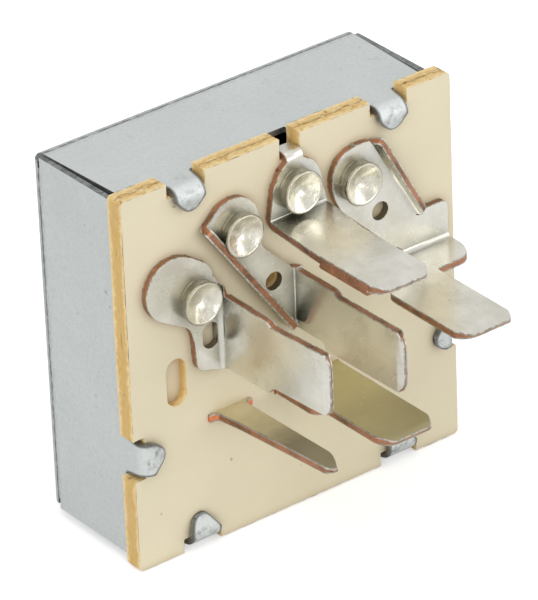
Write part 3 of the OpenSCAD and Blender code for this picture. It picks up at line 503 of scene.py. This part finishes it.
def edge_finish(name, tin, dull, copper, dark, fresh):
    """Sheared copper between two ragged rolls of tin, and fresh copper at the slots.
    The mesh stores where the tin rolls."""
    f = Finish(name, Metallic=0.80)
    ragged = f.clouds(0.45 * MM, 4.0, 0.7, seed=3.0)
    tarnish = f.clouds(2.2 * MM, 4.0, 0.65, seed=6.0)
    streaks = f.clouds(0.30 * MM, 3.0, 0.6, seed=9.0)
    worn = f.blend(f.ramp(tarnish, 0.42, 0.62), copper, dark)
    worn = f.blend(f.ramp(streaks, 0.5, 0.72, 0.0, 0.7), worn, shaded(copper, 1.45))
    root = f.times(
        f.ramp(f.along("Y"), (SHEET_FACE - 0.7) * MM, (SHEET_FACE - 0.4) * MM),
        f.ramp(f.along("Z"), (SLOT_SIDE + 0.25) * MM, (SLOT_SIDE - 0.25) * MM))
    worn = f.blend(root, worn, fresh)
    plated = f.blend(f.ramp(ragged, 0.30, 0.60), tin, shaded(dull, 0.40))
    reach = f.plus(f.stored("rolled"), f.sway(ragged, 0.8))
    colour = f.blend(f.ramp(reach, 0.16, 0.40), worn, plated)
    rough = f.ramp(streaks, 0.3, 0.7, 0.32, 0.50)
    return f.finish(colour, rough, f.plus(streaks, ragged), 0.05 * MM, 0.6)


def rivet_finish(name, tin, tarnish):
    """Bright tin in the hollow and on the rim, worn and ringed on the barrel."""
    f = Finish(name, Metallic=1.0)
    cloud = f.clouds(0.9 * MM, 3.0, 0.6)
    fine = f.clouds(0.22 * MM, 3.0, 0.6, seed=6.0)
    rings = f.clouds(0.5 * MM, 3.0, 0.6, f.stretched((0.3, 3.0, 0.3)), 2.0)
    colour = f.blend(f.ramp(cloud, 0.35, 0.7, 0.0, 0.5), tin, tarnish)
    worn = f.blend(f.ramp(rings, 0.35, 0.65), tarnish, shaded(tarnish, 0.66))
    colour = f.blend(f.stored("barrel"), colour, worn)
    rough = f.ramp(cloud, 0.3, 0.7, 0.16, 0.28)
    return f.finish(colour, rough, f.plus(cloud, f.times(fine, 0.5)), 0.07 * MM, 0.7)


def laminate_finish(name, face):
    """Cream paper laminate with a faint cloudy grain, a few dark spots and a satin skin,
    and a painted brown shade where it is closed in."""
    f = Finish(name, Specular_IOR_Level=0.42)
    cloud = f.clouds(7 * MM, 4.0, 0.5)
    grain = f.clouds(0.4 * MM, 3.0, 0.6, seed=2.0)
    spots = f.ramp(f.clouds(0.9 * MM, 1.0, 0.5, seed=7.0), 0.765, 0.79, 0.0, 0.55)
    colour = f.blend(f.ramp(cloud, 0.35, 0.65), shaded(face, 0.965), face)
    colour = f.blend(f.ramp(grain, 0.4, 0.8, 0.0, 0.25), colour, shaded(face, 0.93))
    colour = f.blend(spots, colour, (0.22, 0.17, 0.10))
    # Painted shade: a brown shade where the sheet is closed in, beside the plates and rivets.
    colour = f.blend(f.hidden(1.3 * MM, 0.55), colour, tinted(face, (0.50, 0.38, 0.26)))
    return f.finish(colour, f.ramp(grain, 0.3, 0.7, 0.38, 0.50), grain, 0.02 * MM, 0.35)


def punched_finish(name, edge, fibre, tear):
    """Punched edge of the laminate with pale rims: rough with torn strokes, flakes and a
    brown broken seam where the tear is 1, and cleanly cut where it is 0."""
    f = Finish(name, Specular_IOR_Level=0.25)
    plies = f.clouds(0.9 * MM, 4.0, 0.65, f.stretched((1.0, 5.0, 1.0)), 1.0)
    torn = f.clouds(0.7 * MM, 5.0, 0.7, seed=5.0)
    flakes = f.clouds(0.45 * MM, 3.0, 0.6, f.stretched((0.6, 2.0, 1.0)), 21.0)
    middle = f.plus(f.minus(f.along("Y"), SHEET_SEAM * MM), f.sway(torn, 1.6 * MM))
    offset = f.away(middle)
    seam = f.times(f.ramp(offset, 0.24 * MM, 0.05 * MM), f.ramp(plies, 0.60, 0.42, 0.15, 0.85))
    colour = f.blend(f.ramp(plies, 0.38, 0.66, 0.0, 0.4 + 0.6 * tear), edge, fibre)
    rims = f.ramp(offset, 0.5 * MM, 0.95 * MM, 0.0, 0.8)
    colour = f.blend(rims, colour, shaded(fibre, 1.12))
    colour = f.blend(f.times(seam, tear), colour, (0.26, 0.13, 0.04))
    colour = f.blend(f.ramp(torn, 0.56, 0.68, 0.0, 0.8 * tear), colour, shaded(edge, 0.45))
    colour = f.blend(f.ramp(flakes, 0.60, 0.70, 0.0, 0.7 * tear), colour, shaded(fibre, 1.15))
    rough = f.ramp(torn, 0.3, 0.7, 0.6, 0.85)
    return f.finish(colour, rough, f.plus(plies, torn), 0.16 * MM, 0.3 + 0.6 * tear)


def metal_finish(name, colour, metallic, rough, grain=0.5, depth=0.01, grime_and_shade=0.0):
    """Plain turned, rolled or ground metal with a fine grain, both sizes in millimetres,
    and dirt with painted shade darkening its grooves."""
    f = Finish(name, Metallic=metallic)
    fine = f.clouds(grain * MM, 3.0, 0.6)
    broad = f.clouds(5 * MM, 3.0, 0.5, seed=4.0)
    tone = f.blend(f.ramp(broad, 0.3, 0.7), colour, shaded(colour, 0.88))
    # Dirt and painted shade: grooves, such as the thread's valleys, are darkened where closed in.
    if grime_and_shade:
        tone = f.blend(f.hidden(0.5 * MM, grime_and_shade), tone, shaded(colour, 0.3))
    return f.finish(tone, f.ramp(fine, 0.3, 0.7, rough, rough + 0.12), fine, depth * MM, 0.5)


def moulding_finish(name, colour):
    """Matt black moulding with a fine surface grain."""
    f = Finish(name, Specular_IOR_Level=0.4)
    fine = f.clouds(0.25 * MM, 3.0, 0.6)
    tone = f.blend(f.ramp(fine, 0.3, 0.7), colour, shaded(colour, 1.65))
    return f.finish(tone, f.ramp(fine, 0.3, 0.7, 0.5, 0.62), fine, 0.02 * MM, 0.5)


# Pieces --------------------------------------------------------------------

class SWITCH_OT_box(bpy.types.Operator):
    """Folded steel box with dull zinc faces and dark sheared edges"""
    bl_idname = "switch.make_box"
    bl_label = "Make box"

    def execute(self, context):
        s = context.scene.switch_box
        zinc = zinc_finish("zinc_plate", s.zinc, s.stain, s.speckle)
        shear = shear_finish("sheared_steel", s.zinc, s.stain)
        bm = merged_copy("case")
        bmesh.ops.remove_doubles(bm, verts=bm.verts, dist=0.02 * MM)
        mark_sheared(bm, STEEL * MM)
        self.plate_folds(bm)
        finished_object(bm, "steel_box", FIXED, [zinc, shear], ["case"])
        return {"FINISHED"}

    @staticmethod
    def plate_folds(bm):
        """Gives the mounting face and the folds round it their plating where folds meet."""
        for face in bm.faces:
            if face.normal.y > 0.1 and face.calc_center_median().y > FOLD_END * MM:
                face.material_index = 0


class SWITCH_OT_sheets(bpy.types.Operator):
    """Two laminate sheets with ragged punched edges"""
    bl_idname = "switch.make_sheets"
    bl_label = "Make sheets"

    def execute(self, context):
        s = context.scene.switch_sheets
        face = laminate_finish("laminate_face", s.face)
        torn = punched_finish("torn_edge", s.edge, s.fibre, tear=1.0)
        clean = punched_finish("clean_edge", s.edge, s.fibre, tear=0.0)
        for node, seed in (("inner_board", 3.0), ("terminal_board", 11.0)):
            bm = merged_copy(node)
            for f in bm.faces:
                flat, level = abs(f.normal.y) > 0.7, abs(f.normal.z) > 0.7
                f.material_index = 0 if flat else 1 if level else 2
            self.tear_edges(bm, s.ragged, seed, *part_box(node))
            finished_object(bm, node.replace("board", "sheet"), FIXED,
                            [face, torn, clean], [node])
        return {"FINISHED"}

    @staticmethod
    def tear_edges(bm, depth, seed, low, high):
        """Divides the punched sides of the outline and pushes their points in by a random
        depth."""
        band, spacing, grain = 3.2 * MM, 0.4 * MM, 0.7 * MM

        def in_band(vert):
            return min(*(vert.co - low).xz, *(high - vert.co).xz) < band

        sides = [f for f in bm.faces if f.material_index and all(in_band(v) for v in f.verts)]
        rims = {e for f in sides for e in f.edges}
        for edge in sorted(rims, key=lambda e: e.index):
            cuts = int(edge.calc_length() / spacing)
            if cuts > 0:
                bmesh.ops.subdivide_edges(bm, edges=[edge], cuts=cuts)
        bm.normal_update()
        for vert in bm.verts:
            sides = [f.normal for f in vert.link_faces if f.material_index]
            if not sides or not in_band(vert):
                continue
            push = sum(sides, Vector()).normalized()
            amount = noise.noise(vert.co / grain + Vector((seed, seed, seed)))
            vert.co -= push * depth * (0.5 + 0.5 * amount)


class SWITCH_OT_terminals(bpy.types.Operator):
    """Six bent copper terminals with tin faces and bare sheared edges"""
    bl_idname = "switch.make_terminals"
    bl_label = "Make terminals"

    def execute(self, context):
        s = context.scene.switch_blades
        tin = tin_finish("tin_face", s.tin, s.dull_tin, rough=0.20)
        aged = aged_finish("aged_tin", s.aged_tin, s.worn_tin, rough=0.26)
        edge = edge_finish("sheared_copper", s.tin, s.dull_tin, s.copper, s.dark_copper,
                           s.fresh_copper)
        hole = metal_finish(
            "punched_hole", s.hole, metallic=0.75, rough=0.35, grain=0.3, depth=0.04)
        for node in PLATE_NODES:
            bm = merged_copy(node)
            mark_sheared(bm, COPPER * MM, WIDEST_HOLE * MM)
            round_corners(bm, s.corner_round)
            face, width, cover = tin, s.plate_round, 1.0
            if node in SLOT_NODES:
                face, width, cover = aged, s.slot_round, 0.45
            self.roll_edges(bm, width, s.smear, cover)
            finished_object(bm, node.replace("terminal", "blade"), FIXED,
                            [face, edge, hole], [node])
        return {"FINISHED"}

    @staticmethod
    def roll_edges(bm, width, smear, cover):
        """Rolls the border between the faces and the sheared edges, and marks off the band
        beside it that the tin is smeared over. The cover says how well the tin holds there."""
        rolled = bm.verts.layers.float.new("rolled")
        borders = [e for e in sharp_edges(bm)
                   if sum(f.material_index == 0 for f in e.link_faces) == 1]
        made = bmesh.ops.bevel(
            bm, geom=borders, offset=width, offset_type="OFFSET", segments=3,
            profile=0.5, affect="EDGES", clamp_overlap=False, material=1)
        rolls = set(made["faces"])
        sheared = [f for f in bm.faces if f.material_index == 1 and f not in rolls]
        bmesh.ops.inset_region(bm, faces=sheared, thickness=smear, use_boundary=True)
        inner = {v for f in sheared for v in f.verts}
        for face in bm.faces:
            for vert in face.verts:
                if face.material_index == 0 and vert not in inner:
                    vert[rolled] = cover
        for vert in bm.verts:
            if vert not in inner and vert[rolled] == 0.0:
                vert[rolled] = 0.75 * cover


class SWITCH_OT_rivets(bpy.types.Operator):
    """Four hollow rivets with a flared rim and a deep round hollow"""
    bl_idname = "switch.make_rivets"
    bl_label = "Make rivets"

    # Half a section through a rivet: radius, and height over the sheet, in millimetres.
    SECTION = (
        (0.0, 0.98), (0.30, 1.0), (0.55, 1.07), (1.0, 1.34), (1.45, 1.64), (1.72, 1.83),
        (1.84, 1.93), (1.93, 1.99), (2.02, 2.0), (2.11, 1.97), (2.17, 1.90), (2.18, 1.81),
        (2.16, 1.68), (2.12, 1.48), (2.08, 1.25), (2.05, 1.02), (2.04, 0.88), (2.07, 0.80),
        (1.40, 0.80), (1.40, -2.0), (2.20, -2.0), (2.20, -2.55), (1.90, -2.8), (0.0, -2.8))
    BARREL = 2.035      # radius outside which a rivet is worn

    def execute(self, context):
        s = context.scene.switch_rivets
        bright = rivet_finish("bright_tin", s.tin, s.tarnish)
        angles = [math.radians(FIRST_RIVET + RIVET_STEP * number) for number in range(4)]
        centres = [Vector((RIVET_CIRCLE * math.cos(a), SHEET_FACE, RIVET_CIRCLE * math.sin(a)))
                   for a in angles]
        bm = bmesh.new()
        for centre in centres:
            self.spin_rivet(bm, centre, s.steps)
        self.store_barrel(bm, centres)
        finished_object(bm, "hollow_rivets", FIXED, [bright],
                        ["terminal_rivets"])
        return {"FINISHED"}

    @classmethod
    def spin_rivet(cls, bm, centre, steps):
        """Spins the section of one rivet round its own axis."""
        verts = [bm.verts.new((centre + Vector((r, -h, 0.0))) * MM) for r, h in cls.SECTION]
        edges = [bm.edges.new(pair) for pair in zip(verts, verts[1:])]
        bmesh.ops.spin(
            bm, geom=verts + edges, cent=centre * MM, axis=(0.0, 1.0, 0.0), dvec=(0.0, 0.0, 0.0),
            angle=2 * math.pi, steps=steps, use_merge=True, use_duplicate=False)
        bmesh.ops.remove_doubles(bm, verts=bm.verts, dist=0.002 * MM)
        bmesh.ops.recalc_face_normals(bm, faces=bm.faces)

    @classmethod
    def store_barrel(cls, bm, centres):
        """Stores on each point whether it lies on the barrel, outside the rim."""
        barrel = bm.verts.layers.float.new("barrel")
        for vert in bm.verts:
            nearest = min((vert.co.xz - c.xz * MM).length for c in centres)
            vert[barrel] = 1.0 if nearest > cls.BARREL * MM else 0.0


class SWITCH_OT_bush(bpy.types.Operator):
    """Mounting bush with a rolled thread, and the shaft and snap ring that turn in it"""
    bl_idname = "switch.make_bush"
    bl_label = "Make bush and shaft"

    # Radii of the bush, and how far the thread stays off both ends, in millimetres.
    OUTER, BORE, FLANGE, SEAT = 4.76, 3.22, 6.5, 5.1
    THREAD_START, THREAD_END = 0.4, 0.5
    CHAMFER, INNER_CHAMFER = (0.18, 0.3), 0.15      # the outer one's width and length
    STEPS = 72          # divisions round the barrel
    THREAD_STEPS = 48   # divisions of one turn of the thread

    def execute(self, context):
        s = context.scene.switch_bush
        # The bush's thread valleys are darkened with dirt and painted shade.
        plated = metal_finish("plated_bush", s.plating, metallic=0.9, rough=0.3, grain=0.4,
                              depth=0.02, grime_and_shade=0.9)
        turned = metal_finish(
            "turned_shaft", s.turned, metallic=0.95, rough=0.26, grain=0.3, depth=0.015)
        ring = metal_finish(
            "spring_ring", s.ring, metallic=0.9, rough=0.32, grain=0.4, depth=0.02)
        low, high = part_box("threaded_bush")
        bm = bmesh.new()
        self.spin_barrel(bm, s.depth, low.y, high.y)
        self.wind_thread(bm, s.pitch, s.depth, high.y)
        bmesh.ops.recalc_face_normals(bm, faces=bm.faces)
        finished_object(bm, "mounting_bush", FIXED, [plated], ["threaded_bush"])
        for node, name, slot, finish in (
                ("control_shaft", "shaft", "bare_steel", turned),
                ("retaining_ring", "snap_ring", "spring_steel", ring)):
            bm = merged_copy(node)
            bmesh.ops.bevel(
                bm, geom=sharp_edges(bm), offset=s.edge_round, offset_type="OFFSET", segments=2,
                profile=0.5, affect="EDGES", clamp_overlap=True, material=-1)
            finished_object(bm, name, TURNING, [finish], [node])
        return {"FINISHED"}

    @classmethod
    def spin_barrel(cls, bm, depth, inner, end):
        """Flange, seat in the wall of the box and barrel by one spin of their section, from
        the bush's inner face to its end."""
        bore, flange, seat, inside = (r * MM for r in (cls.BORE, cls.FLANGE, cls.SEAT, -STEEL))
        core = cls.OUTER * MM - depth
        wide, long = (c * MM for c in cls.CHAMFER)
        lip = cls.INNER_CHAMFER * MM
        section = [
            (bore, inner), (flange, inner), (flange, inside), (seat, inside), (seat, 0.0),
            (core, 0.0), (core, end - long), (core - wide, end),
            (bore + lip, end), (bore, end - lip)]
        verts = [bm.verts.new((r, y, 0.0)) for r, y in section]
        edges = [bm.edges.new(pair) for pair in zip(verts, verts[1:] + verts[:1])]
        bmesh.ops.spin(
            bm, geom=verts + edges, cent=(0, 0, 0), axis=(0, 1, 0), dvec=(0, 0, 0),
            angle=2 * math.pi, steps=cls.STEPS, use_merge=True, use_duplicate=False)

    @classmethod
    def wind_thread(cls, bm, pitch, depth, end):
        """Thread as a ridge that is wound round the barrel. The flank gives its section,
        as radius and share of the pitch."""
        outer = cls.OUTER * MM
        foot = outer - depth - 0.05 * MM
        crest = outer - 0.04 * MM
        start = cls.THREAD_START * MM
        turns = (end - cls.THREAD_END * MM - pitch - start) / pitch
        steps = int(cls.THREAD_STEPS * turns)
        flank = [(foot, -0.46), (crest, -0.07), (outer, 0.0), (crest, 0.07), (foot, 0.46)]
        ridge = [bm.verts.new((r, start + (0.5 + share) * pitch, 0.0)) for r, share in flank]
        bmesh.ops.spin(
            bm, geom=[bm.faces.new(ridge)], cent=(0, 0, 0), axis=(0, 1, 0),
            dvec=(0, pitch * turns / steps, 0), angle=2 * math.pi * turns, steps=steps,
            use_merge=False, use_duplicate=False)


class SWITCH_OT_works(bpy.types.Operator):
    """Finishes of the pieces inside the box"""
    bl_idname = "switch.finish_works"
    bl_label = "Finish inner pieces"

    def execute(self, context):
        s, box = context.scene.switch_works, context.scene.switch_box
        finishes = {
            "zinc_plate": bpy.data.materials.get("zinc_plate")
            or zinc_finish("zinc_plate", box.zinc, box.stain, box.speckle),
            "black_moulding": moulding_finish("black_moulding", s.moulding),
            "spring_strip": metal_finish("spring_strip", s.spring, metallic=0.9, rough=0.3),
            "ball_steel": metal_finish(
                "ball_steel", s.ball, metallic=1.0, rough=0.08, grain=0.4, depth=0.004),
            "contact_bronze": metal_finish(
                "contact_bronze", s.bronze, metallic=0.9, rough=0.3, grain=0.4, depth=0.02),
        }
        for node, finish in INNER_FINISHES.items():
            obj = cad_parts[node]
            obj.data.materials.clear()
            obj.data.materials.append(finishes[finish])
        return {"FINISHED"}


class SWITCH_OT_stage(bpy.types.Operator):
    """Floor, soft lamps and camera"""
    bl_idname = "switch.make_stage"
    bl_label = "Make stage"

    # Name, place and width in metres, and power in watts.
    LAMPS = (
        ("lamp_top", (-0.10, -0.12, 0.62), 0.60, 1.5),
        ("lamp_front_left", (-0.62, -0.52, 0.38), 0.80, 2.95),
        ("lamp_right", (0.60, -0.35, 0.25), 0.60, 1.1),
        ("lamp_low", (0.25, -0.85, -0.01), 0.60, 2.0))
    LIT_POINT = Vector((0.0, -0.01, 0.0))

    def execute(self, context):
        s = context.scene.switch_stage
        self.camera(context, s)
        self.floor(s)
        self.lamps(context, s)
        self.surroundings(context)
        context.scene.view_settings.view_transform = "Standard"
        return {"FINISHED"}

    @staticmethod
    def camera(context, s):
        """Camera on the line that the turn, rise and roll give, set a little to the left
        and up from the middle of the sheets."""
        look = (Matrix.Rotation(s.roll, 3, "Y") @ Matrix.Rotation(s.rise, 3, "X")
                @ Matrix.Rotation(s.turn, 3, "Z"))
        across, along, up = look
        middle = Vector((-0.5, SHEET_FACE, -0.5)) * MM
        left, raised = 2.4407 * MM, 2.0569 * MM
        place = middle - along * s.distance - across * left + up * raised
        data = bpy.data.cameras.new("camera")
        data.lens = s.lens
        data.sensor_width = 36.0
        data.clip_start, data.clip_end = 0.01, 10.0
        obj = bpy.data.objects.new("camera", data)
        turn = Matrix((across, up, -along)).transposed()
        obj.matrix_world = Matrix.Translation(place) @ turn.to_4x4()
        context.scene.collection.objects.link(obj)
        context.scene.camera = obj

    @staticmethod
    def floor(s):
        """Wide pale floor that the camera sees as white, with the object's shadow."""
        level = CAD_BOX[0].z - s.floor_gap
        bm = bmesh.new()
        bmesh.ops.create_grid(bm, x_segments=2, y_segments=2, size=3.0,
                              matrix=Matrix.Translation((0.0, 0.0, level)))
        obj = mesh_object(bm, "floor")
        material = bpy.data.materials.new("pale_floor")
        material.use_nodes = True
        tree = material.node_tree
        shader = tree.nodes["Principled BSDF"]
        shader.inputs["Base Color"].default_value = (0.80, 0.80, 0.80, 1.0)
        shader.inputs["Roughness"].default_value = 0.9
        shader.inputs["Specular IOR Level"].default_value = 0.0
        shader.inputs["Emission Color"].default_value = (1.0, 1.0, 1.0, 1.0)
        glow = seen_level(tree, direct=0.45, mirrored=0.14)
        tree.links.new(glow, shader.inputs["Emission Strength"])
        obj.data.materials.append(material)

    @classmethod
    def lamps(cls, context, s):
        """Large soft lamps: overhead, from the left front, and weaker ones from the right
        and from low in front."""
        for name, place, size, power in cls.LAMPS:
            data = bpy.data.lights.new(name, "AREA")
            data.shape = "DISK"
            data.size = size
            data.energy = power * s.lamp_power
            obj = bpy.data.objects.new(name, data)
            obj.location = place
            aim = cls.LIT_POINT - Vector(place)
            obj.rotation_euler = aim.to_track_quat("-Z", "Y").to_euler()
            context.scene.collection.objects.link(obj)

    @staticmethod
    def surroundings(context):
        """Even pale surroundings: white to the camera, nearly white in metal, and dimmer as
        a light on the object."""
        world = bpy.data.worlds.new("studio")
        world.use_nodes = True
        tree = world.node_tree
        shade = tree.nodes["Background"]
        shade.inputs["Color"].default_value = (1.0, 1.0, 1.0, 1.0)
        seen, ambient = seen_level(tree, direct=1.0, mirrored=0.85), 0.50
        level = arithmetic(tree, "MAXIMUM", seen, ambient)
        tree.links.new(level, shade.inputs["Strength"])
        context.scene.world = world


class SWITCH_PT_panel(bpy.types.Panel):
    """Lists the pieces and their sizes and colours"""
    bl_idname = "SWITCH_PT_panel"
    bl_label = "Blower switch"
    bl_space_type = "VIEW_3D"
    bl_region_type = "UI"
    bl_category = "Blower switch"

    def draw(self, context):
        for label, group, _settings, operator in GROUPS:
            box = self.layout.box()
            box.label(text=label)
            settings = getattr(context.scene, group)
            for name in settings.bl_rna.properties.keys():
                if name not in ("rna_type", "name"):
                    box.prop(settings, name)
            box.operator(operator.bl_idname)


GROUPS = (
    ("Box", "switch_box", BoxSettings, SWITCH_OT_box),
    ("Sheets", "switch_sheets", SheetSettings, SWITCH_OT_sheets),
    ("Terminals", "switch_blades", BladeSettings, SWITCH_OT_terminals),
    ("Rivets", "switch_rivets", RivetSettings, SWITCH_OT_rivets),
    ("Bush and shaft", "switch_bush", BushSettings, SWITCH_OT_bush),
    ("Inner pieces", "switch_works", WorksSettings, SWITCH_OT_works),
    ("Stage", "switch_stage", StageSettings, SWITCH_OT_stage),
)


def register():
    """Registers the settings, the operators and the panel."""
    for _label, group, settings, operator in GROUPS:
        bpy.utils.register_class(settings)
        bpy.utils.register_class(operator)
        setattr(bpy.types.Scene, group, bpy.props.PointerProperty(type=settings))
    bpy.utils.register_class(SWITCH_PT_panel)


def unregister():
    """Takes away all that register added."""
    bpy.utils.unregister_class(SWITCH_PT_panel)
    for _label, group, settings, operator in reversed(GROUPS):
        delattr(bpy.types.Scene, group)
        bpy.utils.unregister_class(operator)
        bpy.utils.unregister_class(settings)


def main():
    """Builds all pieces and the stage."""
    register()
    bpy.ops.switch.make_box()
    bpy.ops.switch.make_sheets()
    bpy.ops.switch.make_terminals()
    bpy.ops.switch.make_rivets()
    bpy.ops.switch.make_bush()
    bpy.ops.switch.finish_works()
    bpy.ops.switch.make_stage()


if __name__ == "__main__":
    main()
